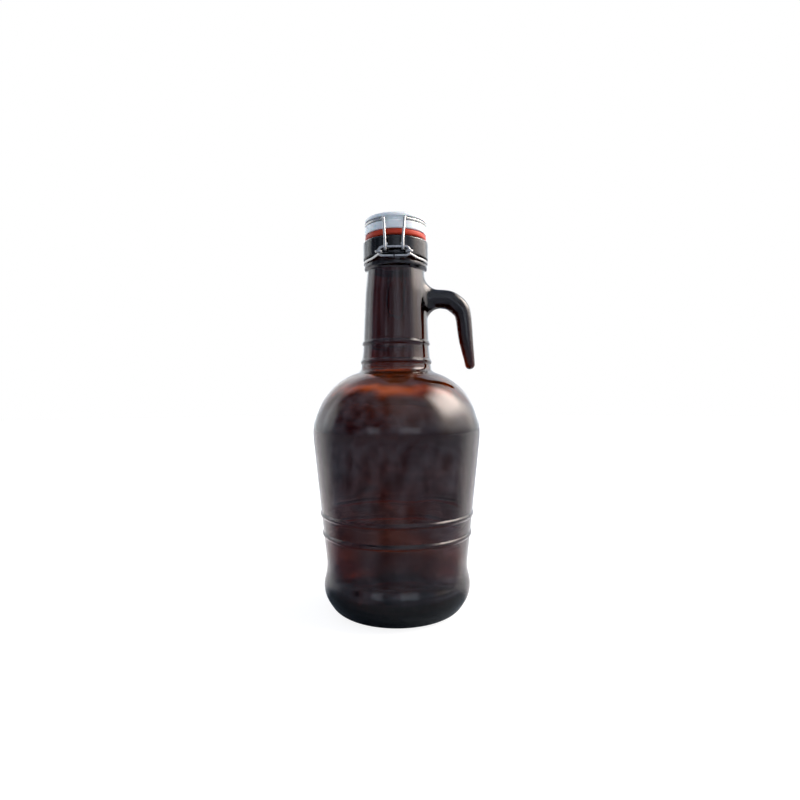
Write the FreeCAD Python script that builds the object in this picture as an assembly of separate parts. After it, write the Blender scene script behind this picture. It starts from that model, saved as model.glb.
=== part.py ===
import FreeCAD, Part
import math
import os

# A two litre swing-top growler: a hollow glass bottle with a hooked glass handle on its neck, shut by a
# lid that a wire clip holds down. Millimetres. Z is up and is the bottle's axis, and the origin is the
# middle of the ring that it stands on. The handle is at +X, the lid's hinge at -Y and the thumb lever at
# +Y.

# Glass
wall = 3.6
floor_thickness = 5.5
rim_height = 300.6
rim_rounding = 2.0
mouth_radius = 19.5
mouth_rounding = 1.6
bore_end = 276.4
bore_blend = 60.0
collar_radius = 26.8
collar_bottom = 285.8
collar_edge = 0.8
wire_groove_radius = 24.4
wire_groove_bottom = 281.9
wire_groove_top = 285.4
wire_groove_edge = 0.4
bead_radius = 26.0
bead_top = 281.2
bead_low = 278.2
bead_top_rounding = 1.0
bead_low_rounding = 1.3
neck_top = 277.0
neck_top_radius = 23.3
neck_top_rounding = 2.0
foot_ring_radius = 38.5
foot_ring_rounding = 1.0
push_up = 5.0
dome_fullness = 0.99
floor_flat_radius = 24.0
floor_bowl = 120.0
floor_corner = 11.0
rib_half = 2.2
rib_crest = 1.55
rib_rounding = 2.3
rib_fillet = 0.8
rib_heights = (63.2, 79.0, 202.1, 217.2)

# The bottle's side as corners of radius, height and rounding. The cavity follows the side from the heel's
# widest corner up, one wall thickness further in.
foot_corner = (50.2, 0.0, 13.0)
heel_corner = (61.7, 17.4, 22.0)
side_corners = [
    (57.1, 34.6, 40.0),
    (72.2, 179.9, 51.0),
    (29.4, 193.9, 6.0),
    (27.4, 210.4, 80.0),
    (25.15, 258.4, 60.0),
]

# Handle: the middle of its section in x and z, its depth and its breadth, from the neck to the free tip,
# and how its root flares over the last few millimetres before the neck: distance, depth and breadth.
handle_stations = [
    (38.0, 254.0, 15.5, 15.2),
    (45.2, 252.4, 15.5, 15.1),
    (52.7, 246.3, 15.0, 14.6),
    (55.7, 238.6, 13.2, 13.4),
    (57.6, 221.0, 12.0, 11.8),
    (60.4, 203.6, 8.9, 9.3),
]
handle_tip = (61.2, 195.7)
root_flare = [
    (-3.0, 37.0, 25.0),
    (1.6, 25.0, 18.5),
    (6.0, 17.6, 16.0),
]
tip_shares = (0.45, 0.75, 0.93)

# Lid and gasket
lid_radius = 25.6
lid_bottom = 306.0
lid_top = 319.2
lid_edge = 2.6
lid_bottom_edge = 0.8
lid_dish_radius = 19.0
lid_dish_depth = 0.8
lid_dish_slope = 1.5
lid_dish_blend = 1.2
plug_radius = 17.4
plug_bottom = 299.4
plug_edge = 1.2
gasket_inner_radius = 18.0
gasket_outer_radius = 25.1
gasket_bottom = 300.9
gasket_rounding = 2.2
gasket_inner_edge = 0.5

# Wire clip
wire_radius = 1.0
eye_radius = 2.35
lid_groove_height = 313.9
lid_groove_half = 1.7
lid_groove_radius = 23.45
lid_groove_rounding = 1.1
lid_groove_lip = 0.3
lid_ring_radius = 24.6
band_ring_radius = 25.7
band_height = 283.4

# Hinge side: the oval link stands in front of the collar, and its top bar is the lid's hinge pin.
hinge_y = -29.8
hinge_height = 289.8
link_low_bar = 282.8
link_half_width = 12.0
link_butt_gap = 1.4
leg_top_x = 8.3
leg_top_y = -27.7
leg_top_bend = 2.2
leg_turn_x = 9.8
leg_turn_out = 0.3
leg_turn_bend = 2.0
leg_eye_x = 7.0
leg_knee_height = 295.9
leg_knee_bend = 10.0
eye_drift = 0.35
hook_radius = 2.35
hook_end = 0.3
hook_lead = 0.6
hook_lead_bend = 2.0
hook_height = 285.7
band_climb = 13.0
band_climb_bend = 15.0

# Lever side: the band bows out into a bar that the lever turns on, and the tension link hooks the nose.
lever_pivot_y = 29.3
lever_half_width = 8.2
band_bar_half = 11.0
band_bar_bend = 3.0
link_pivot_y = 28.3
link_pivot_height = 274.4
lever_neck_height = 279.9
lever_neck_bend = 6.0
lever_leg_height = 273.4
lever_leg_bend = 10.0
lever_taper_height = 259.0
lever_taper_bend = 12.0
lever_tip_height = 243.9
lever_tip_half = 5.6
lever_tip_bend = 5.0
lever_tip_y = 32.6
nose_y = 29.0
nose_half = 2.8
nose_bend = 1.6
catch_gap = 0.35
catch_angle = 40.0
tension_half_width = 4.8
tension_clear_y = 32.4
tension_foot_height = 279.4
tension_bow_height = 287.4
tension_pin_end = 10.1
tension_pin_bend = 1.6
tension_foot_bend = 2.5
tension_bow_bend = 10.0
tension_bar_bend = 2.0

shortest_run = 0.001
AXIS = FreeCAD.Vector(0, 0, 1)
ORIGIN = FreeCAD.Vector(0, 0, 0)


def point(x, y, z):
    return FreeCAD.Vector(x, y, z)


def mirrored(corners):
    """The same corners with x reversed, in the opposite order, so that a path can go on through them."""
    return [(point(-p.x, p.y, p.z), radius) for p, radius in reversed(corners)]


def rounded_path(corners):
    """Edges of the straight runs through the corners, each corner turned by an arc tangent to both runs."""
    edges = []

    def add_run(start, end):
        if start.distanceToPoint(end) > shortest_run:
            edges.append(Part.LineSegment(start, end).toShape())

    run_start = corners[0][0]
    for (before, _), (corner, radius), (after, _) in zip(corners, corners[1:], corners[2:]):
        if radius == 0:
            add_run(run_start, corner)
            run_start = corner
            continue
        incoming = (corner - before).normalize()
        outgoing = (after - corner).normalize()
        half_turn = incoming.getAngle(outgoing) / 2
        setback = radius * math.tan(half_turn)
        inward = (outgoing - incoming).normalize()
        arc_start = corner - incoming * setback
        arc_middle = corner + inward * radius * (1 / math.cos(half_turn) - 1)
        arc_end = corner + outgoing * setback
        add_run(run_start, arc_start)
        edges.append(Part.Arc(arc_start, arc_middle, arc_end).toShape())
        run_start = arc_end
    add_run(run_start, corners[-1][0])
    return edges


def turned(outline):
    """A solid turned about the bottle's axis from corners of radius, height and rounding."""
    corners = [(point(r, 0, z), rounding) for r, z, rounding in outline]
    edges = rounded_path(corners + [corners[0]])
    return Part.Face(Part.Wire(edges)).revolve(ORIGIN, AXIS, 360)


def wire_solid(corners):
    """Round wire along a rounded path."""
    edges = rounded_path(corners)
    section = Part.Circle(corners[0][0], edges[0].tangentAt(edges[0].FirstParameter), wire_radius)
    return Part.Wire(edges).makePipeShell([Part.Wire([section.toShape()])], True, False)


def inset(corners, depth):
    """Outline corners moved in by a depth on the side towards the axis, as the far face of a wall."""
    moved = []
    for (r0, z0, _), (r, z, rounding), (r1, z1, _) in zip(corners, corners[1:], corners[2:]):
        before = point(r - r0, 0, z - z0).normalize()
        after = point(r1 - r, 0, z1 - z).normalize()
        normal_sum = point(-before.z - after.z, 0, before.x + after.x)
        shift = normal_sum * (depth / (1 + before.dot(after)))
        turns_in = before.z * after.x - before.x * after.z < 0
        new_rounding = rounding - depth if turns_in else rounding + depth
        moved.append((r + shift.x, z + shift.z, new_rounding))
    return moved


def radius_between(low, high, height):
    """The radius at a height on the straight run between two corners."""
    return low[0] + (high[0] - low[0]) * (height - low[1]) / (high[1] - low[1])


def ribbed(corners):
    """The same corners with a raised, rounded ring added at each rib height."""
    outline = [corners[0]]
    for low, high in zip(corners, corners[1:]):
        for height in rib_heights:
            if low[1] < height < high[1]:
                foot = height - rib_half
                head = height + rib_half
                outline += [
                    (radius_between(low, high, foot), foot, rib_fillet),
                    (radius_between(low, high, height) + rib_crest, height, rib_rounding),
                    (radius_between(low, high, head), head, rib_fillet),
                ]
        outline.append(high)
    return outline


def glass_outside():
    """The outside of the glass, from the middle of the push-up to the rim."""
    half_dome = foot_ring_radius / 2
    dome_turn = math.atan2(push_up, half_dome)
    longest_dome_radius = half_dome / math.tan(dome_turn / 2)
    base = [
        (0.0, push_up, 0.0),
        (half_dome, push_up, longest_dome_radius * dome_fullness),
        (foot_ring_radius, 0.0, foot_ring_rounding),
        foot_corner,
        heel_corner,
    ]
    finish = [
        (neck_top_radius, neck_top, neck_top_rounding),
        (bead_radius, bead_low, bead_low_rounding),
        (bead_radius, bead_top, bead_top_rounding),
        (wire_groove_radius, wire_groove_bottom, wire_groove_edge),
        (wire_groove_radius, wire_groove_top, wire_groove_edge),
        (collar_radius, collar_bottom, collar_edge),
        (collar_radius, rim_height, rim_rounding),
    ]
    return base + ribbed(side_corners) + finish


def glass_inside():
    """The cavity's wall, from the rim down to the middle of the floor."""
    side = inset([heel_corner] + side_corners + [(neck_top_radius, neck_top, 0.0)], wall)
    floor_top = push_up + floor_thickness
    lowest = side[0]
    upwards = [
        (0.0, floor_top, 0.0),
        (floor_flat_radius, floor_top, floor_bowl),
        (lowest[0], floor_thickness, floor_corner),
    ]
    upwards += side
    upwards += [
        (mouth_radius, bore_end, bore_blend),
        (mouth_radius, rim_height, mouth_rounding),
    ]
    return upwards[::-1]


def bottle():
    return turned(glass_outside() + glass_inside())


def handle_section(x, z, heading, depth, breadth):
    """An ellipse across the handle, which goes on in the heading (x, z)."""
    length = math.hypot(*heading)
    normal = point(heading[0] / length, 0, heading[1] / length)
    across = point(-normal.z, 0, normal.x) * (depth / 2)
    aside = breadth / 2
    stretch = FreeCAD.Matrix(
        across.x, 0, normal.x, x,
        0, -aside, 0, 0,
        across.z, 0, normal.z, z,
        0, 0, 0, 1,
    )
    circle = Part.Circle(ORIGIN, AXIS, 1.0).toShape()
    return Part.Wire([circle.transformGeometry(stretch)])


def handle():
    """A solid glass hook, flared where it joins the neck and rounded at its free tip."""
    root_height = handle_stations[0][1]
    neck_r = radius_between(side_corners[-2], side_corners[-1], root_height)
    level = (1.0, 0.0)
    sections = [
        handle_section(neck_r + reach, root_height, level, depth, breadth)
        for reach, depth, breadth in root_flare
    ]
    line = [(neck_r, root_height)] + [station[:2] for station in handle_stations] + [handle_tip]
    for (x, z, depth, breadth), before, after in zip(handle_stations, line, line[2:]):
        heading = (after[0] - before[0], after[1] - before[1])
        sections.append(handle_section(x, z, heading, depth, breadth))
    last_x, last_z, last_depth, last_breadth = handle_stations[-1]
    heading = (handle_tip[0] - last_x, handle_tip[1] - last_z)
    for share in tip_shares:
        shrink = math.sqrt(1 - share * share)
        x = last_x + heading[0] * share
        z = last_z + heading[1] * share
        sections.append(handle_section(x, z, heading, last_depth * shrink, last_breadth * shrink))
    hook = Part.makeLoft(sections, True, False)
    return hook.cut(turned(glass_outside() + [(0.0, rim_height, 0.0)]))


def lid():
    """A thick round lid with a wire groove round its edge and a plug that centres it in the mouth."""
    groove_top = lid_groove_height + lid_groove_half
    groove_low = lid_groove_height - lid_groove_half
    return turned([
        (0.0, plug_bottom, 0.0),
        (plug_radius, plug_bottom, plug_edge),
        (plug_radius, lid_bottom, 0.0),
        (lid_radius, lid_bottom, lid_bottom_edge),
        (lid_radius, groove_low, lid_groove_lip),
        (lid_groove_radius, groove_low, lid_groove_rounding),
        (lid_groove_radius, groove_top, lid_groove_rounding),
        (lid_radius, groove_top, lid_groove_lip),
        (lid_radius, lid_top, lid_edge),
        (lid_dish_radius + lid_dish_slope, lid_top, lid_dish_blend),
        (lid_dish_radius, lid_top - lid_dish_depth, lid_dish_blend),
        (0.0, lid_top - lid_dish_depth, 0.0),
    ])


def gasket():
    """The rubber ring between lid and rim, its outer edge rounded."""
    return turned([
        (gasket_inner_radius, gasket_bottom, gasket_inner_edge),
        (gasket_outer_radius, gasket_bottom, gasket_rounding),
        (gasket_outer_radius, lid_bottom, gasket_rounding),
        (gasket_inner_radius, lid_bottom, 0.0),
        (gasket_inner_radius, (gasket_bottom + lid_bottom) / 2, 0.0),
    ])


def leaving_angle(ring_radius, x, y, stand_off=0.0):
    """The direction, from the axis, in which a wire leaves its ring for a point on the +X side.

    The straight run passes the point at the stand-off, on the side towards the axis.
    """
    opening = math.acos((ring_radius + stand_off) / math.hypot(x, y))
    towards = math.atan2(y, x)
    return towards + opening if y < 0 else towards - opening


def ring_corner(ring_radius, height, front_angle, back_angle):
    """The corner whose arc is the ring's side, between the two spots where the wire leaves it."""
    middle = (front_angle + back_angle) / 2
    reach = ring_radius / math.cos((back_angle - front_angle) / 2)
    return (point(reach * math.cos(middle), reach * math.sin(middle), height), ring_radius)


def lid_wire():
    """One wire: an eye round the hinge bar, a leg, the lid's groove, the nose, and back the same way."""
    turn_radius = lid_ring_radius + leg_turn_out
    leg_turn_y = -math.sqrt(turn_radius ** 2 - leg_turn_x ** 2)
    front_angle = leaving_angle(lid_ring_radius, leg_turn_x, leg_turn_y)
    back_angle = leaving_angle(lid_ring_radius, nose_half, nose_y)
    near = hinge_y - eye_radius
    far = hinge_y + eye_radius
    low = hinge_height - eye_radius
    high = hinge_height + eye_radius
    half = [
        (point(leg_eye_x - 3 * eye_drift, hinge_y, high), 0),
        (point(leg_eye_x - 2 * eye_drift, far, high), eye_radius),
        (point(leg_eye_x - eye_drift, far, low), eye_radius),
        (point(leg_eye_x, near, low), eye_radius),
        (point(leg_eye_x, near, leg_knee_height), leg_knee_bend),
        (point(leg_top_x, leg_top_y, lid_groove_height), leg_top_bend),
        (point(leg_turn_x, leg_turn_y, lid_groove_height), leg_turn_bend),
        ring_corner(lid_ring_radius, lid_groove_height, front_angle, back_angle),
        (point(nose_half, nose_y, lid_groove_height), nose_bend),
    ]
    return wire_solid(half + mirrored(half))


def hinge_link():
    """The oval link, bent from one wire whose ends butt at the middle of its low bar."""
    end_radius = (hinge_height - link_low_bar) / 2
    half = [
        (point(link_butt_gap / 2, hinge_y, link_low_bar), 0),
        (point(link_half_width, hinge_y, link_low_bar), end_radius),
        (point(link_half_width, hinge_y, hinge_height), end_radius),
    ]
    return wire_solid(half + mirrored(half))


def neck_band():
    """The wire below the collar: a hook on each end of the oval link, and a bar for the lever."""
    link_end_radius = (hinge_height - link_low_bar) / 2
    below_middle = link_low_bar + link_end_radius - hook_height
    hook_x = link_half_width - link_end_radius + math.sqrt(link_end_radius ** 2 - below_middle ** 2)
    front_angle = leaving_angle(band_ring_radius, hook_x, hinge_y, hook_radius)
    back_angle = leaving_angle(band_ring_radius, band_bar_half, lever_pivot_y)
    outward = point(math.cos(front_angle), math.sin(front_angle), 0)
    ahead = point(math.sin(front_angle), -math.cos(front_angle), 0)
    held = point(hook_x, hinge_y, hook_height)
    inner = held - outward * hook_radius
    climb_start = inner - ahead * band_climb
    climb_start.z = band_height
    half = [
        (held + outward * hook_radius - ahead * hook_end, 0),
        (held + outward * hook_radius + ahead * hook_radius, hook_radius),
        (inner + ahead * hook_radius, hook_radius),
        (inner - ahead * hook_lead, hook_lead_bend),
        (climb_start, band_climb_bend),
        ring_corner(band_ring_radius, band_height, front_angle, back_angle),
        (point(band_bar_half, lever_pivot_y, band_height), band_bar_bend),
    ]
    return wire_solid(half + mirrored(half))


def lever():
    """The thumb lever: an eye at each end on the band's bar, and one in each leg for the tension link."""
    out = lever_pivot_y + eye_radius
    back = lever_pivot_y - eye_radius
    low = band_height - eye_radius
    high = band_height + eye_radius
    leg_y = link_pivot_y + eye_radius
    half = [
        (point(lever_half_width, lever_pivot_y, low), 0),
        (point(lever_half_width, back, low), eye_radius),
        (point(lever_half_width, back, high), eye_radius),
        (point(lever_half_width, out, high), eye_radius),
        (point(lever_half_width, out, lever_neck_height), lever_neck_bend),
        (point(lever_half_width, leg_y, lever_leg_height), lever_leg_bend),
        (point(lever_half_width, leg_y, lever_taper_height), lever_taper_bend),
        (point(lever_tip_half, lever_tip_y, lever_tip_height), lever_tip_bend),
    ]
    solid = wire_solid(half + mirrored(half))
    for side in (-1, 1):
        centre = point(side * lever_half_width, link_pivot_y, link_pivot_height)
        solid = solid.fuse(Part.makeTorus(eye_radius, wire_radius, centre, point(1, 0, 0)))
    return solid


def tension_link():
    """The bail from lever to lid: a pin in each of the lever's eyes and a bar over the lid wire's nose."""
    reach = 2 * wire_radius + catch_gap
    bar_y = nose_y + reach * math.sin(math.radians(catch_angle))
    bar_z = lid_groove_height + reach * math.cos(math.radians(catch_angle))
    half = [
        (point(tension_pin_end, link_pivot_y, link_pivot_height), 0),
        (point(tension_half_width, link_pivot_y, link_pivot_height), tension_pin_bend),
        (point(tension_half_width, tension_clear_y, tension_foot_height), tension_foot_bend),
        (point(tension_half_width, tension_clear_y, tension_bow_height), tension_bow_bend),
        (point(tension_half_width, bar_y, bar_z), tension_bar_bend),
    ]
    return wire_solid(half + mirrored(half))


PIECES = {
    "bottle": bottle,
    "handle": handle,
    "lid": lid,
    "gasket": gasket,
    "lid_wire": lid_wire,
    "hinge_link": hinge_link,
    "neck_band": neck_band,
    "lever": lever,
    "tension_link": tension_link,
}


def main():
    os.makedirs("parts", exist_ok=True)
    for name, make in PIECES.items():
        shape = make()
        shape.exportStep(f"parts/{name}.step")
        print(name, shape.isValid(), len(shape.Solids), round(shape.Volume / 1000, 2), "cm3")
        print("  ", shape.BoundBox)


main()
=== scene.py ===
import math

import bmesh
import bpy
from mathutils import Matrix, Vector, noise


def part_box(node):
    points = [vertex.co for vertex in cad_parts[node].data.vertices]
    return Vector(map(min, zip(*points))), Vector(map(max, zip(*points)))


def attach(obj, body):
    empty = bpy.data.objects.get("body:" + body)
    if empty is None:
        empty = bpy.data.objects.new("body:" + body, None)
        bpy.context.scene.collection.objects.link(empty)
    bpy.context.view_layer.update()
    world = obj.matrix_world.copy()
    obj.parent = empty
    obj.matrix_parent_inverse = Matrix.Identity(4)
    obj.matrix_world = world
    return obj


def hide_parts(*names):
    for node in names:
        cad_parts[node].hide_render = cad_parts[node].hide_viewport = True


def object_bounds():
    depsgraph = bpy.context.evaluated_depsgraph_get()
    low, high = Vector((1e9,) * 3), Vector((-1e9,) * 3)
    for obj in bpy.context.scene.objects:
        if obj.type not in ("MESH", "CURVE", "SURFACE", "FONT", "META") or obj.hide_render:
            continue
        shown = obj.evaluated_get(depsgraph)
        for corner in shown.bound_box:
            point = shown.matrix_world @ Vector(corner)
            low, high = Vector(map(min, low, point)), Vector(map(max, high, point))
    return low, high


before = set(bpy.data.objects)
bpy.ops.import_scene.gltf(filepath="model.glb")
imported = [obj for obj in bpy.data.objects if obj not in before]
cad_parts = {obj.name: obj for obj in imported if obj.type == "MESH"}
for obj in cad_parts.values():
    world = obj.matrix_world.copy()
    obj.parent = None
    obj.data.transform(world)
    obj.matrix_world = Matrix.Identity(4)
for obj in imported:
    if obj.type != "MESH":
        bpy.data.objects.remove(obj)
cad_low, cad_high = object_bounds()

# The looks of a two litre swing-top growler. Outlines and pieces are drawn in millimetres on the CAD
# model's axes: Z is up, the handle is at +X, the lid's hinge at -Y and the thumb lever at +Y. MM takes them
# to the frame's metres.
MM = 0.001

# How finely round shapes are divided, and what counts as no turn, no run, one place and on the axis
COLUMNS = 160
ARC_STEP = math.radians(5.0)
LONGEST_RUN = 3.0
SHORTEST_RUN = 0.02
LEAST_TURN = 0.001
SAME_PLACE = 0.0005
ON_AXIS = 0.02

# Glass. Corners are a radius, a height and a rounding. The outside's line goes over the rim and down the
# bore to BORE_MEETING, where the cavity's line starts.
RIM_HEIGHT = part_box("bottle")[1].z / MM
RIM_ROUNDING = 2.0
MOUTH_RADIUS = 19.5
MOUTH_ROUNDING = 1.6
BORE_END = 276.4
BORE_BLEND = 60.0
BORE_MEETING = 279.4
COLLAR_RADIUS = 26.8
COLLAR_BOTTOM = 285.8
COLLAR_EDGE = 0.8
WIRE_GROOVE_RADIUS = 24.4
WIRE_GROOVE_TOP = 285.4
WIRE_GROOVE_BOTTOM = 281.9
WIRE_GROOVE_EDGE = 0.4
BEAD_RADIUS = 26.0
BEAD_TOP = 281.2
BEAD_TOP_ROUNDING = 1.0
BEAD_LOW = 278.2
BEAD_LOW_ROUNDING = 1.3
NECK_TOP = (23.3, 277.0, 2.0)
FOOT_RING_RADIUS = 38.5
FOOT_RING_ROUNDING = 1.0
PUSH_UP = 5.0
DOME_FULLNESS = 0.99
FOOT_CORNER = (50.2, 0.0, 13.0)
HEEL_CORNER = (61.7, 17.4, 22.0)
SIDE_CORNERS = (
    (57.1, 34.6, 40.0),
    (72.2, 179.9, 51.0),
    (29.4, 193.9, 5.0),
    (27.4, 210.4, 80.0),
    (25.15, 258.4, 60.0),
)
RIB_HEIGHTS = (63.2, 79.0, 202.1, 217.2)
RIB_HALF = 2.2
RIB_CREST = 1.55
RIB_ROUNDING = 2.3
RIB_FILLET = 0.8

# The cavity's wall from the middle of the floor up. It is thinnest on the shoulder and above the heel.
FLOOR_THICKNESS = 5.5
FLOOR_CORNERS = (
    (24.0, PUSH_UP + FLOOR_THICKNESS, 120.0),
    (56.6, 6.6, 13.0),
)
CAVITY_CORNERS = (
    (54.9, 38.0, 34.0),
    (67.5, 180.0, 46.0),
    (27.6, 192.4, 5.0),
    (23.6, 210.0, 60.0),
    (20.9, 258.4, 60.0),
)

# How the cavity's wall wanders: a slow swirl and a finer ripple, which fade out towards the rim
SWIRL_DEPTH = 0.7
SWIRL_SCALE = 1.6
SWIRL_CLIMB = 0.018
SWIRL_PLACE = Vector((3.0, 1.0, 7.0))
RIPPLE_DEPTH = 0.22
RIPPLE_SCALE = 4.0
RIPPLE_CLIMB = 0.05
WAVES_END_BELOW_RIM = 24.0
WAVES_FADE = 30.0

# Handle: the middle of its section, its depth and its breadth, from the neck to the tip
HANDLE_STATIONS = (
    (38.0, 254.0, 15.5, 15.2),
    (45.2, 252.4, 15.5, 15.1),
    (52.7, 246.3, 15.0, 14.6),
    (55.7, 238.6, 13.2, 13.4),
    (57.6, 221.0, 12.0, 11.8),
    (60.4, 203.6, 8.9, 9.3),
    (60.9, 199.9, 8.2, 8.6),
)
HANDLE_STEPS = 44
TIP_STEPS = 8

# Where the handle grows from: an opening in the neck, and a fillet round it. Shares say where the rings lie
# between the opening and the fillet, then between the fillet and the handle's first section.
HANDLE_ROOT_HEIGHT = 254.0
ROOT_FILLET_ABOVE = 11.0
ROOT_FILLET_ASIDE = 4.5
ROOT_HALF_WIDTH = 15.0
ROOT_HALF_HEIGHT = 22.0
ROOT_SHARES = (0.3, 0.6, 0.85)
ROOT_STEPS = 10
ROOT_END_SHARES = (0.35, 0.7)

# Lid and gasket
LID_RADIUS = 25.6
LID_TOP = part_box("lid")[1].z / MM
LID_TOP_EDGE = 2.6
LID_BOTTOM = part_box("gasket")[1].z / MM
LID_BOTTOM_EDGE = 0.9
LID_DRAFT = 0.2
DISH_RADIUS = 19.0
DISH_DEPTH = 0.8
DISH_SLOPE = 1.5
DISH_BLEND = 1.2
PLUG_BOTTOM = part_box("lid")[0].z / MM
PLUG_RADIUS = 17.4
PLUG_EDGE = 1.2
PLUG_FILLET = 0.4
GROOVE_HEIGHT = 313.9
GROOVE_HALF = 1.7
GROOVE_RADIUS = 23.45
GROOVE_LIP = 0.5
GROOVE_ROUNDING = 1.1
GASKET_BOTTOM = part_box("gasket")[0].z / MM
GASKET_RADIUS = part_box("gasket")[1].x / MM
GASKET_ROUNDING = 1.9
GASKET_INNER_RADIUS = 18.0
GASKET_INNER_EDGE = 0.4

# The wires are the CAD's own.
WIRE_NODES = ("lid_wire", "hinge_link", "neck_band", "lever", "tension_link")

# Nearly all of a noise's values lie between these.
NOISE_LOW = 0.3
NOISE_HIGH = 0.7

# Materials: a noise wanders between the two colours or the two values of a pair. Relief is in metres.
GLASS_TINT = (1.0, 0.97, 0.93, 1)
GLASS_IOR = 1.5
GLASS_ROUGHNESS = (0.0, 0.02)
GLASS_RELIEF = 0.00006
AMBER = (0.6, 0.318, 0.0, 1)
AMBER_DENSITY = 1150.0
LID_COLOURS = ((0.80, 0.87, 0.85), (0.86, 0.91, 0.88))
LID_ROUGHNESS = (0.18, 0.34)
LID_RELIEF = 0.00002
RUBBER_COLOURS = ((0.48, 0.032, 0.008), (0.60, 0.050, 0.013))
RUBBER_ROUGHNESS = (0.35, 0.55)
RUBBER_RELIEF = 0.00004
STEEL_COLOURS = ((0.40, 0.40, 0.39), (0.55, 0.55, 0.53))
STEEL_ROUGHNESS = (0.20, 0.38)
STEEL_RELIEF = 0.00003

# Room: a colour that wanders between two tones, dimmer below the horizon. Angles are in degrees. Round the
# object, 0 is towards -Y, where the viewer is, and 90 towards the handle.
ROOM_SHADE = (0.04, 0.05, 0.09)
ROOM_GLOW = (0.56, 0.64, 0.84)
ROOM_SCALE = 3.6
ROOM_DETAIL = 2.0
HORIZON = 2.0
HORIZON_SOFTNESS = 10.0
BELOW_HORIZON = 0.7

# Soft lights: a colour, a strength, then where the light starts and ends and how soft its edges are, first
# round the object and then up from its level. The lights behind are the same on both sides, so for them the
# angle counts both ways from the viewer, and they have no end.
WINDOW = (1.0, 0.90, 0.82)
DAYLIGHT = (0.92, 0.96, 1.0)
SKY = (0.80, 0.88, 1.0)
WALL = (0.97, 1.0, 0.96)
ENDLESS = 270
SOFT_LIGHTS = (
    (WINDOW, 10.0, (74, 122, 24), (24, 54, 22)),
    (WINDOW, 2.6, (66, 134, 30), (5, 52, 26)),
    (DAYLIGHT, 0.40, (-8, 66, 24), (8, 66, 20)),
    (SKY, 1.0, (-36, -20, 8), (1, 12, 8)),
    (SKY, 1.0, (8, 34, 8), (1, 12, 8)),
    (WALL, 1.3, (-116, -94, 14), (2, 30, 22)),
    (WALL, 1.0, (-166, -112, 20), (-34, 46, 26)),
    (WALL, 0.9, (120, 166, 22), (-30, 48, 26)),
)
LIGHTS_BEHIND = (
    (WALL, 0.45, (150, ENDLESS, 30), (2, 40, 4)),
    (WINDOW, 2.4, (160, ENDLESS, 12), (0.6, 3.0, 2.4)),
)

# Floor. The object mirrors one with light and shade painted into its colour: a painted shadow near the
# foot, then mottled painted light and shade, then plain at the far end, and painted light to both sides.
# FLOOR_CHANGES and FLOOR_ENDS are the distances in metres where those changes start and end. The camera
# sees white paper instead, which glows and which the object can shade a little.
FLOOR_RADIUS = 6.0
FLOOR_SEGMENTS = 96
FLOOR_DROP = 0.0002
# Painted shadow: the floor's colour near the foot, darker where the object stands.
FLOOR_PAINTED_SHADOW = (0.17, 0.20, 0.23)
# Mottled painted light and shade further out from the foot.
FLOOR_SHADE = (0.05, 0.06, 0.09)
FLOOR_GLOW = (0.48, 0.54, 0.66)
FLOOR_SCALE = 7.0
FLOOR_END = (0.24, 0.27, 0.33)
# Painted light: the floor's colour is paler to both sides.
FLOOR_PAINTED_LIGHT = (0.85, 0.85, 0.85)
FLOOR_CHANGES = (0.11, 0.15)
FLOOR_ENDS = (0.50, 1.20)
FLOOR_PAINTED_LIGHT_SIDES = (100, 154, 30)
FLOOR_PAPER = (0.25, 0.25, 0.25, 1)
FLOOR_GLARE = 0.88

# View: level, from in front of the lid's hinge but a little towards the handle
VIEW_DISTANCE = 0.4525
VIEW_HEIGHT = 0.1691
VIEW_TURN = math.radians(2.3)
VIEW_ROLL = math.radians(0.3)
VIEW_SENSOR = 36.0
VIEW_LENS = 24.525
VIEW_SHIFT = (0.0045, 0.0025)
NEAREST_SEEN = 0.01


def rounded(corners):
    """Points along the straight runs through (radius, height, rounding) corners, turned by tangent arcs."""
    points = [Vector(corners[0][:2])]
    for (r0, z0, _), (r, z, rounding), (r1, z1, _) in zip(corners, corners[1:], corners[2:]):
        corner = Vector((r, z))
        before = (corner - Vector((r0, z0))).normalized()
        after = (Vector((r1, z1)) - corner).normalized()
        turn = before.angle(after)
        if rounding == 0 or turn < LEAST_TURN:
            points.append(corner)
            continue
        start = corner - before * rounding * math.tan(turn / 2)
        inward = (after - before).normalized()
        centre = corner + inward * rounding / math.cos(turn / 2)
        steps = max(2, math.ceil(turn / ARC_STEP))
        spoke = start - centre
        side = 1 if before.x * after.y - before.y * after.x > 0 else -1
        for i in range(steps + 1):
            a = side * turn * i / steps
            turned_spoke = Vector((
                spoke.x * math.cos(a) - spoke.y * math.sin(a),
                spoke.x * math.sin(a) + spoke.y * math.cos(a),
            ))
            points.append(centre + turned_spoke)
    points.append(Vector(corners[-1][:2]))
    return divided(points)


def divided(points):
    """The same line with no run longer than LONGEST_RUN and no doubled points."""
    line = [points[0]]
    for p in points[1:]:
        start = line[-1]
        length = (p - start).length
        if length < SHORTEST_RUN:
            continue
        steps = max(1, math.ceil(length / LONGEST_RUN))
        line += [start.lerp(p, (i + 1) / steps) for i in range(steps)]
    return line


def add_object(name, bm, body, material, replaced):
    """A finished piece from a mesh drawn in millimetres."""
    bmesh.ops.remove_doubles(bm, verts=bm.verts, dist=SAME_PLACE)
    bmesh.ops.recalc_face_normals(bm, faces=bm.faces)
    bmesh.ops.scale(bm, vec=(MM, MM, MM), verts=bm.verts)
    mesh = bpy.data.meshes.new(name)
    bm.to_mesh(mesh)
    bm.free()
    for polygon in mesh.polygons:
        polygon.use_smooth = True
    mesh.materials.append(material)
    piece = bpy.data.objects.new(name, mesh)
    bpy.context.scene.collection.objects.link(piece)
    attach(piece, body)
    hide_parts(*replaced)
    return piece


def ring_of(bm, points):
    """One vertex for each point."""
    return [bm.verts.new(p) for p in points]


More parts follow.
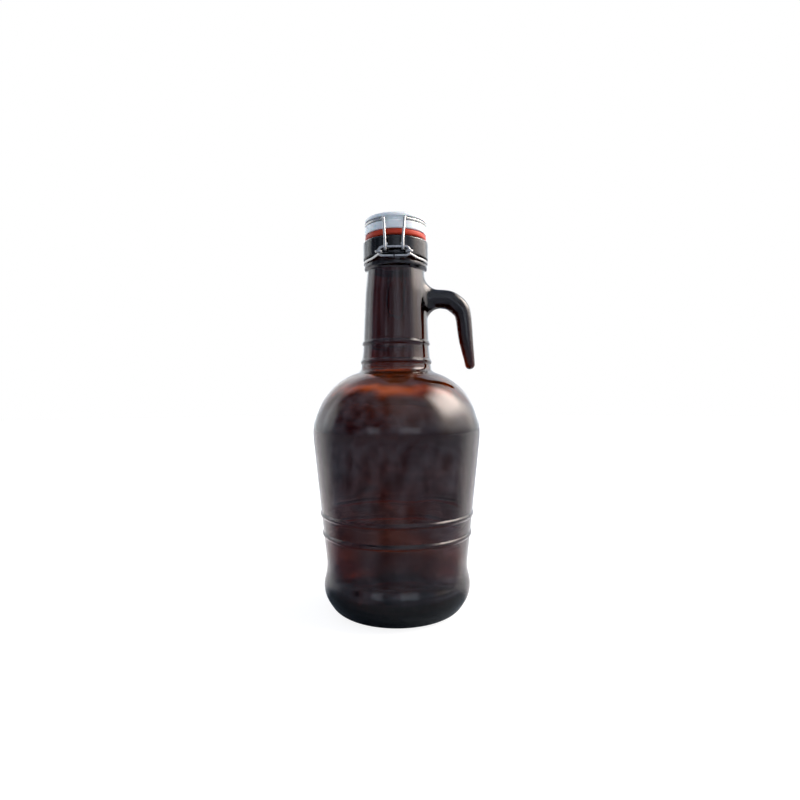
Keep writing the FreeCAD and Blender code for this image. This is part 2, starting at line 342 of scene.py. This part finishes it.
def bridge(bm, ring, next_ring):
    """Faces between two closed rings with the same number of points."""
    count = len(ring)
    for i in range(count):
        j = (i + 1) % count
        bm.faces.new((ring[i], ring[j], next_ring[j], next_ring[i]))


def turned(bm, line, shape=None):
    """Rings of vertices about the axis, one for each (radius, height) point, faced between one another.

    A point on the axis closes the surface. shape(angle, height) gives a radius to add.
    """
    rows = []
    for p in line:
        if p.x < ON_AXIS:
            rows.append([bm.verts.new((0, 0, p.y))])
            continue
        ring = []
        for column in range(COLUMNS):
            angle = math.tau * column / COLUMNS
            radius = p.x + (shape(angle, p.y) if shape else 0)
            ring.append(bm.verts.new((radius * math.cos(angle), radius * math.sin(angle), p.y)))
        rows.append(ring)
    for lower, upper in zip(rows, rows[1:]):
        if len(lower) == len(upper):
            bridge(bm, lower, upper)
        else:
            tip, ring = (lower[0], upper) if len(lower) == 1 else (upper[0], lower)
            for i in range(COLUMNS):
                bm.faces.new((tip, ring[i], ring[(i + 1) % COLUMNS]))
    return rows


def radius_between(low, high, height):
    """The radius at a height on the straight run between two corners."""
    return low[0] + (high[0] - low[0]) * (height - low[1]) / (high[1] - low[1])


def ribbed(corners):
    """The same corners with a raised, rounded ring added at each rib height."""
    outline = [corners[0]]
    for low, high in zip(corners, corners[1:]):
        for height in RIB_HEIGHTS:
            if low[1] < height < high[1]:
                foot = height - RIB_HALF
                head = height + RIB_HALF
                outline += [
                    (radius_between(low, high, foot), foot, RIB_FILLET),
                    (radius_between(low, high, height) + RIB_CREST, height, RIB_ROUNDING),
                    (radius_between(low, high, head), head, RIB_FILLET),
                ]
        outline.append(high)
    return outline


def outside_line():
    """The outside of the glass, from the middle of the push-up over the rim and into the bore."""
    half_dome = FOOT_RING_RADIUS / 2
    longest_dome_radius = half_dome / math.tan(math.atan2(PUSH_UP, half_dome) / 2)
    base = [
        (0.0, PUSH_UP, 0.0),
        (half_dome, PUSH_UP, longest_dome_radius * DOME_FULLNESS),
        (FOOT_RING_RADIUS, 0.0, FOOT_RING_ROUNDING),
        FOOT_CORNER,
        HEEL_CORNER,
    ]
    finish = [
        NECK_TOP,
        (BEAD_RADIUS, BEAD_LOW, BEAD_LOW_ROUNDING),
        (BEAD_RADIUS, BEAD_TOP, BEAD_TOP_ROUNDING),
        (WIRE_GROOVE_RADIUS, WIRE_GROOVE_BOTTOM, WIRE_GROOVE_EDGE),
        (WIRE_GROOVE_RADIUS, WIRE_GROOVE_TOP, WIRE_GROOVE_EDGE),
        (COLLAR_RADIUS, COLLAR_BOTTOM, COLLAR_EDGE),
        (COLLAR_RADIUS, RIM_HEIGHT, RIM_ROUNDING),
        (MOUTH_RADIUS, RIM_HEIGHT, MOUTH_ROUNDING),
        (MOUTH_RADIUS, BORE_MEETING, 0.0),
    ]
    return rounded(base + ribbed(SIDE_CORNERS) + finish)


def inside_line():
    """The cavity's wall, from the bore down to the middle of the floor."""
    upwards = [(0.0, PUSH_UP + FLOOR_THICKNESS, 0.0), *FLOOR_CORNERS, *CAVITY_CORNERS]
    upwards += [
        (MOUTH_RADIUS, BORE_END, BORE_BLEND),
        (MOUTH_RADIUS, BORE_MEETING, 0.0),
    ]
    return rounded(upwards)


def glass_waves(angle, height):
    """How far the cavity's wall wanders: blown glass is never the same thickness all round."""
    x = math.cos(angle)
    y = math.sin(angle)
    swirl = noise.noise(Vector((x, y, height * SWIRL_CLIMB)) * SWIRL_SCALE + SWIRL_PLACE)
    ripple = noise.noise(Vector((x * RIPPLE_SCALE, y * RIPPLE_SCALE, height * RIPPLE_CLIMB)))
    fade = min(1.0, max(0.0, (RIM_HEIGHT - WAVES_END_BELOW_RIM - height) / WAVES_FADE))
    return fade * (SWIRL_DEPTH * swirl + RIPPLE_DEPTH * ripple)


def neck_x(line, y, z):
    """Where the outside of the neck is at a y and height, on the handle's side."""
    for low, high in zip(line, line[1:]):
        if low.y <= z <= high.y and high.y > low.y:
            radius = low.x + (high.x - low.x) * (z - low.y) / (high.y - low.y)
            return math.sqrt(radius * radius - y * y)
    raise ValueError("no neck at this height")


def handle_stations(count):
    """Middle, heading, depth and breadth along the handle, by a smooth curve through its stations."""
    keys = [Vector(s) for s in HANDLE_STATIONS]
    keys = [keys[0] * 2 - keys[1]] + keys + [keys[-1] * 2 - keys[-2]]
    found = []
    spans = len(keys) - 3
    for i in range(count + 1):
        place = spans * i / count
        k = min(int(place), spans - 1)
        t = place - k
        a, b, c, d = keys[k:k + 4]
        run = c - a
        bend = 2 * a - 5 * b + 4 * c - d
        twist = 3 * b - a - 3 * c + d
        here = 0.5 * (2 * b + run * t + bend * t ** 2 + twist * t ** 3)
        slope = 0.5 * (run + 2 * bend * t + 3 * twist * t ** 2)
        heading = Vector((slope.x, 0, slope.y)).normalized()
        found.append((Vector((here.x, 0, here.y)), heading, here.z / 2, here.w / 2))
    return found


def section_ring(middle, heading, half_depth, half_breadth, angles):
    """Points round an elliptical section across the handle."""
    aside = Vector((0, 1, 0))
    above = aside.cross(heading) * -1
    return [middle + aside * half_breadth * math.cos(a) + above * half_depth * math.sin(a) for a in angles]


def open_neck(bm, line, rows):
    """Takes out the neck's faces where the handle leaves it, and gives the loop round the opening."""
    columns = round(math.asin(ROOT_HALF_WIDTH / SIDE_CORNERS[-1][0]) / math.tau * COLUMNS)
    open_rows = [
        i for i, p in enumerate(line)
        if abs(p.y - HANDLE_ROOT_HEIGHT) < ROOT_HALF_HEIGHT and p.x > MOUTH_RADIUS
    ]
    first, last = open_rows[0], open_rows[-1]
    bottom = [rows[first][c] for c in range(-columns, columns)]
    right = [rows[r][columns] for r in range(first, last)]
    top = [rows[last][c] for c in range(columns, -columns, -1)]
    left = [rows[r][-columns] for r in range(last, first, -1)]
    for row in range(first, last):
        for c in range(-columns, columns):
            corners = (rows[row][c], rows[row][c + 1], rows[row + 1][c + 1], rows[row + 1][c])
            bm.faces.remove(bm.faces.get(corners))
    for row in range(first + 1, last):
        for c in range(-columns + 1, columns):
            bm.verts.remove(rows[row][c])
    return bottom + right + top + left


def add_handle(bm, line, rows):
    """Opens the neck where the handle leaves it, and grows the handle from the opening's edge."""
    ring = open_neck(bm, line, rows)
    edge_at = [(v.co.y, v.co.z) for v in ring]
    angles = evened([
        math.atan2((z - HANDLE_ROOT_HEIGHT) / ROOT_HALF_HEIGHT, y / ROOT_HALF_WIDTH)
        for y, z in edge_at
    ])
    stations = handle_stations(HANDLE_STEPS)
    _, _, half_depth, half_breadth = stations[0]

    def fillet(a):
        """The fillet's size at an angle round the handle."""
        return ROOT_FILLET_ASIDE + (ROOT_FILLET_ABOVE - ROOT_FILLET_ASIDE) * math.sin(a) ** 2

    def root_point(a, turn):
        """A point on the fillet between neck and handle, where turn is 0 on the neck."""
        reach = fillet(a) * (1 - math.sin(turn))
        y = math.cos(a) * (half_breadth + reach)
        z = HANDLE_ROOT_HEIGHT + math.sin(a) * (half_depth + reach)
        return Vector((neck_x(line, y, z) + fillet(a) * (1 - math.cos(turn)), y, z))

    for share in ROOT_SHARES:
        points = []
        for (y0, z0), a in zip(edge_at, angles):
            start = root_point(a, 0)
            y = y0 + (start.y - y0) * share
            z = z0 + (start.z - z0) * share
            points.append(Vector((neck_x(line, y, z), y, z)))
        ring = grown(bm, ring, points)
    for i in range(ROOT_STEPS + 1):
        ring = grown(bm, ring, [root_point(a, math.radians(90 * i / ROOT_STEPS)) for a in angles])
    root_end = [v.co.copy() for v in ring]
    first_section = section_ring(*stations[0], angles)
    for share in ROOT_END_SHARES:
        ring = grown(bm, ring, [p.lerp(q, share) for p, q in zip(root_end, first_section)])
    for station in stations:
        ring = grown(bm, ring, section_ring(*station, angles))

    middle, heading, half_depth, half_breadth = stations[-1]
    for i in range(1, TIP_STEPS):
        turn = math.radians(90 * i / TIP_STEPS)
        tip_middle = middle + heading * half_depth * math.sin(turn)
        shrink = math.cos(turn)
        points = section_ring(tip_middle, heading, half_depth * shrink, half_breadth * shrink, angles)
        ring = grown(bm, ring, points)
    tip = bm.verts.new(middle + heading * half_depth)
    for i in range(len(ring)):
        bm.faces.new((ring[i], ring[(i + 1) % len(ring)], tip))


def grown(bm, ring, points):
    """A new ring bridged to the last one."""
    next_ring = ring_of(bm, points)
    bridge(bm, ring, next_ring)
    return next_ring


def evened(angles):
    """The angles going steadily up by one whole turn."""
    out = [angles[0]]
    for a in angles[1:]:
        while a < out[-1]:
            a += math.tau
        out.append(a)
    return out


def glass(material):
    bm = bmesh.new()
    outside = outside_line()
    rows = turned(bm, outside)
    turned(bm, inside_line(), glass_waves)
    add_handle(bm, outside, rows)
    add_object("amber_bottle", bm, "bottle", material, ["bottle", "handle"])


def lid(material):
    groove_top = GROOVE_HEIGHT + GROOVE_HALF
    groove_low = GROOVE_HEIGHT - GROOVE_HALF
    line = rounded([
        (0.0, PLUG_BOTTOM, 0.0),
        (PLUG_RADIUS, PLUG_BOTTOM, PLUG_EDGE),
        (PLUG_RADIUS, LID_BOTTOM, PLUG_FILLET),
        (LID_RADIUS - LID_DRAFT, LID_BOTTOM, LID_BOTTOM_EDGE),
        (LID_RADIUS, groove_low, GROOVE_LIP),
        (GROOVE_RADIUS, groove_low, GROOVE_ROUNDING),
        (GROOVE_RADIUS, groove_top, GROOVE_ROUNDING),
        (LID_RADIUS, groove_top, GROOVE_LIP),
        (LID_RADIUS, LID_TOP, LID_TOP_EDGE),
        (DISH_RADIUS + DISH_SLOPE, LID_TOP, DISH_BLEND),
        (DISH_RADIUS, LID_TOP - DISH_DEPTH, DISH_BLEND),
        (0.0, LID_TOP - DISH_DEPTH, 0.0),
    ])
    bm = bmesh.new()
    turned(bm, line)
    add_object("lid_cap", bm, "lid", material, ["lid"])


def gasket(material):
    line = rounded([
        (GASKET_INNER_RADIUS, LID_BOTTOM, 0.0),
        (GASKET_INNER_RADIUS, GASKET_BOTTOM, GASKET_INNER_EDGE),
        (GASKET_RADIUS, GASKET_BOTTOM, GASKET_ROUNDING),
        (GASKET_RADIUS, LID_BOTTOM, GASKET_ROUNDING),
        (GASKET_INNER_RADIUS, LID_BOTTOM, 0.0),
    ])
    bm = bmesh.new()
    turned(bm, line)
    add_object("rubber_gasket", bm, "lid", material, ["gasket"])


class Nodes:
    """A short way to build the node tree of a material or of the world."""

    def __init__(self, owner):
        owner.use_nodes = True
        self.material = owner
        self.tree = owner.node_tree
        self.shader = self.tree.nodes.get("Principled BSDF")
        self.output = self.tree.nodes.get("Material Output")

    def add(self, kind, **settings):
        node = self.tree.nodes.new(kind)
        for key, value in settings.items():
            setattr(node, key, value)
        return node

    def link(self, source, target):
        self.tree.links.new(source, target)

    def place(self):
        return self.add("ShaderNodeTexCoord").outputs["Object"]

    def noise(self, scale, detail=3.0, stretch=None):
        """Noise from the object's own coordinates, with scale in waves to the metre."""
        texture = self.add("ShaderNodeTexNoise")
        texture.inputs["Scale"].default_value = scale
        texture.inputs["Detail"].default_value = detail
        if stretch:
            mapping = self.add("ShaderNodeMapping")
            mapping.inputs["Scale"].default_value = stretch
            self.link(self.place(), mapping.inputs["Vector"])
            self.link(mapping.outputs["Vector"], texture.inputs["Vector"])
        else:
            self.link(self.place(), texture.inputs["Vector"])
        return texture.outputs["Fac"]

    def between(self, value, low, high):
        """A noise's values spread from low to high."""
        spread = self.add("ShaderNodeMapRange")
        spread.inputs["From Min"].default_value = NOISE_LOW
        spread.inputs["From Max"].default_value = NOISE_HIGH
        spread.inputs["To Min"].default_value = low
        spread.inputs["To Max"].default_value = high
        self.link(value, spread.inputs["Value"])
        return spread.outputs["Result"]

    def colours(self, value, first, second):
        """A noise's values turned into colours from the first to the second."""
        ramp = self.add("ShaderNodeValToRGB")
        ramp.color_ramp.elements[0].color = (*first, 1)
        ramp.color_ramp.elements[1].color = (*second, 1)
        ramp.color_ramp.elements[0].position = NOISE_LOW
        ramp.color_ramp.elements[1].position = NOISE_HIGH
        self.link(value, ramp.inputs["Fac"])
        return ramp.outputs["Color"]

    def bump(self, value, height):
        """Relief of a height in metres on the shader's normal."""
        bump = self.add("ShaderNodeBump")
        bump.inputs["Distance"].default_value = height
        self.link(value, bump.inputs["Height"])
        self.link(bump.outputs["Normal"], self.shader.inputs["Normal"])

    def set(self, **values):
        """Plain values on the shader's sockets, named with underscores for spaces."""
        for key, value in values.items():
            self.shader.inputs[key.replace("_", " ")].default_value = value


def maths(nodes, operation, first, second=None):
    """The result of one sum on sockets or plain numbers."""
    sum_node = nodes.add("ShaderNodeMath", operation=operation)
    for value, socket in zip((first, second), sum_node.inputs):
        if isinstance(value, (int, float)):
            socket.default_value = value
        elif value is not None:
            nodes.link(value, socket)
    return sum_node.outputs["Value"]


def edge(nodes, value, at, softness, low, high):
    """Goes smoothly from low to high as a value passes a place."""
    step = nodes.add("ShaderNodeMapRange", interpolation_type="SMOOTHSTEP")
    step.inputs["From Min"].default_value = at - softness / 2
    step.inputs["From Max"].default_value = at + softness / 2
    step.inputs["To Min"].default_value = low
    step.inputs["To Max"].default_value = high
    nodes.link(value, step.inputs["Value"])
    return step.outputs["Result"]


def passed(nodes, value, start, end):
    """Goes smoothly from 0 at the start to 1 at the end."""
    return edge(nodes, value, (start + end) / 2, end - start, 0.0, 1.0)


def blended(nodes, share, first, second):
    """A colour that goes from the first to the second. Each is a socket or a plain colour."""
    blend = nodes.add("ShaderNodeMix", data_type="RGBA")
    nodes.link(share, blend.inputs["Factor"])
    for colour, socket in ((first, blend.inputs["A"]), (second, blend.inputs["B"])):
        if isinstance(colour, tuple):
            socket.default_value = (*colour, 1)
        else:
            nodes.link(colour, socket)
    return blend.outputs["Result"]


def window(nodes, value, start, end, softness):
    """1 between two angles in degrees and 0 outside them, with soft edges."""
    soft = math.radians(softness)
    rising = edge(nodes, value, math.radians(start), soft, 0.0, 1.0)
    falling = edge(nodes, value, math.radians(end), soft, 1.0, 0.0)
    return maths(nodes, "MULTIPLY", rising, falling)


def angle_round(nodes, direction):
    """A direction's angle round the object, from -Y towards the handle, and its Z."""
    parts = nodes.add("ShaderNodeSeparateXYZ")
    nodes.link(direction, parts.inputs["Vector"])
    towards_viewer = maths(nodes, "MULTIPLY", parts.outputs["Y"], -1.0)
    return maths(nodes, "ARCTAN2", parts.outputs["X"], towards_viewer), parts.outputs["Z"]


def together(nodes, first, second):
    """The light of two shaders added up."""
    both = nodes.add("ShaderNodeAddShader")
    nodes.link(first, both.inputs[0])
    nodes.link(second, both.inputs[1])
    return both.outputs["Shader"]


def seen_and_mirrored(nodes, seen, mirrored):
    """One shader for what the camera sees itself, and another for everything else."""
    choice = nodes.add("ShaderNodeMixShader")
    nodes.link(nodes.add("ShaderNodeLightPath").outputs["Is Camera Ray"], choice.inputs["Fac"])
    nodes.link(mirrored, choice.inputs[1])
    nodes.link(seen, choice.inputs[2])
    return choice.outputs["Shader"]


def lit_patch(nodes, strength, colour):
    """A background of a colour, with a socket for its strength or none for 1."""
    background = nodes.add("ShaderNodeBackground")
    background.inputs["Color"].default_value = (*colour, 1)
    background.inputs["Strength"].default_value = 1.0
    if strength is not None:
        nodes.link(strength, background.inputs["Strength"])
    return background.outputs["Background"]


def amber_glass():
    m = Nodes(bpy.data.materials.new("amber_glass"))
    m.set(Base_Color=GLASS_TINT, Transmission_Weight=1.0, IOR=GLASS_IOR)
    m.link(m.between(m.noise(scale=35.0, detail=4.0), *GLASS_ROUGHNESS), m.shader.inputs["Roughness"])
    m.bump(m.noise(scale=60.0, detail=2.0, stretch=(1, 1, 0.4)), GLASS_RELIEF)
    absorption = m.add("ShaderNodeVolumeAbsorption")
    absorption.inputs["Color"].default_value = AMBER
    absorption.inputs["Density"].default_value = AMBER_DENSITY
    m.link(absorption.outputs["Volume"], m.output.inputs["Volume"])
    return m.material


def white_lid():
    m = Nodes(bpy.data.materials.new("white_lid"))
    m.set(Subsurface_Weight=0.12, Subsurface_Scale=0.002, Coat_Weight=0.4, Coat_Roughness=0.08, IOR=1.5)
    m.link(m.colours(m.noise(scale=90.0), *LID_COLOURS), m.shader.inputs["Base Color"])
    m.link(m.between(m.noise(scale=240.0), *LID_ROUGHNESS), m.shader.inputs["Roughness"])
    m.bump(m.noise(scale=700.0), LID_RELIEF)
    return m.material


def red_rubber():
    m = Nodes(bpy.data.materials.new("red_rubber"))
    m.set(Specular_IOR_Level=0.3)
    m.link(m.colours(m.noise(scale=160.0), *RUBBER_COLOURS), m.shader.inputs["Base Color"])
    m.link(m.between(m.noise(scale=500.0), *RUBBER_ROUGHNESS), m.shader.inputs["Roughness"])
    m.bump(m.noise(scale=1800.0), RUBBER_RELIEF)
    return m.material


def steel_wire():
    m = Nodes(bpy.data.materials.new("steel_wire"))
    m.set(Metallic=1.0)
    m.link(m.colours(m.noise(scale=420.0), *STEEL_COLOURS), m.shader.inputs["Base Color"])
    m.link(m.between(m.noise(scale=900.0), *STEEL_ROUGHNESS), m.shader.inputs["Roughness"])
    m.bump(m.noise(scale=2500.0), STEEL_RELIEF)
    return m.material


def pale_floor():
    """White to the camera but for a faint contact shadow; to reflections, grey with painted light and
    shade.
    """
    m = Nodes(bpy.data.materials.new("pale_floor"))
    place = m.place()
    turn, _ = angle_round(m, place)
    length = m.add("ShaderNodeVectorMath", operation="LENGTH")
    m.link(place, length.inputs[0])
    distance = length.outputs["Value"]
    # For reflections the floor's colour carries painted light and shade: a painted shadow near the foot,
    # mottled painted light and shade further out, and painted light to both sides.
    mottled = m.colours(m.noise(scale=FLOOR_SCALE, detail=2.0), FLOOR_SHADE, FLOOR_GLOW)
    tone = blended(m, passed(m, distance, *FLOOR_CHANGES), FLOOR_PAINTED_SHADOW, mottled)
    tone = blended(m, passed(m, distance, *FLOOR_ENDS), tone, FLOOR_END)
    # Painted light on the floor to both sides.
    tone = blended(m, window(m, maths(m, "ABSOLUTE", turn), *FLOOR_PAINTED_LIGHT_SIDES), tone, FLOOR_PAINTED_LIGHT)
    m.link(tone, m.shader.inputs["Base Color"])
    m.set(Roughness=0.7, Specular_IOR_Level=0.2)
    paper = m.add("ShaderNodeBsdfDiffuse")
    paper.inputs["Color"].default_value = FLOOR_PAPER
    glare = m.add("ShaderNodeEmission")
    glare.inputs["Strength"].default_value = FLOOR_GLARE
    white = together(m, paper.outputs["BSDF"], glare.outputs["Emission"])
    surface = seen_and_mirrored(m, white, m.shader.outputs["BSDF"])
    m.link(surface, m.output.inputs["Surface"])
    return m.material


def floor():
    bm = bmesh.new()
    bmesh.ops.create_circle(bm, cap_ends=True, radius=FLOOR_RADIUS, segments=FLOOR_SEGMENTS)
    mesh = bpy.data.meshes.new("floor")
    bm.to_mesh(mesh)
    bm.free()
    mesh.materials.append(pale_floor())
    sheet = bpy.data.objects.new("floor", mesh)
    sheet.location.z = cad_low.z - FLOOR_DROP
    bpy.context.scene.collection.objects.link(sheet)


def surroundings():
    """A plain studio: a dim room and soft lights, and white wherever the camera looks past the object."""
    world = bpy.data.worlds.new("studio")
    bpy.context.scene.world = world
    n = Nodes(world)
    way = n.add("ShaderNodeTexCoord").outputs["Generated"]
    azimuth, height = angle_round(n, way)
    rise = maths(n, "ARCSINE", height)
    texture = n.add("ShaderNodeTexNoise")
    texture.inputs["Scale"].default_value = ROOM_SCALE
    texture.inputs["Detail"].default_value = ROOM_DETAIL
    n.link(way, texture.inputs["Vector"])
    horizon = edge(n, rise, math.radians(HORIZON), math.radians(HORIZON_SOFTNESS), BELOW_HORIZON, 1.0)
    total = lit_patch(n, horizon, (1, 1, 1))
    n.link(n.colours(texture.outputs["Fac"], ROOM_SHADE, ROOM_GLOW), total.node.inputs["Color"])
    lights = [(azimuth, light) for light in SOFT_LIGHTS]
    lights += [(maths(n, "ABSOLUTE", azimuth), light) for light in LIGHTS_BEHIND]
    for turn, (colour, strength, sideways, upwards) in lights:
        patch = maths(n, "MULTIPLY", window(n, turn, *sideways), window(n, rise, *upwards))
        total = together(n, total, lit_patch(n, maths(n, "MULTIPLY", patch, strength), colour))
    surface = seen_and_mirrored(n, lit_patch(n, None, (1, 1, 1)), total)
    n.link(surface, n.tree.nodes["World Output"].inputs["Surface"])


def camera():
    data = bpy.data.cameras.new("camera")
    data.sensor_width = VIEW_SENSOR
    data.lens = VIEW_LENS
    data.shift_x, data.shift_y = VIEW_SHIFT
    data.clip_start = NEAREST_SEEN
    eye = bpy.data.objects.new("camera", data)
    eye.location = (VIEW_DISTANCE * math.sin(VIEW_TURN), -VIEW_DISTANCE * math.cos(VIEW_TURN), VIEW_HEIGHT)
    eye.rotation_euler = (math.radians(90.0), VIEW_ROLL, VIEW_TURN)
    bpy.context.scene.collection.objects.link(eye)
    bpy.context.scene.camera = eye


glass(amber_glass())
lid(white_lid())
gasket(red_rubber())
wire_steel = steel_wire()
for node in WIRE_NODES:
    for material_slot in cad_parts[node].material_slots:
        material_slot.material = wire_steel

floor()
surroundings()
camera()
bpy.context.scene.view_settings.view_transform = "Standard"
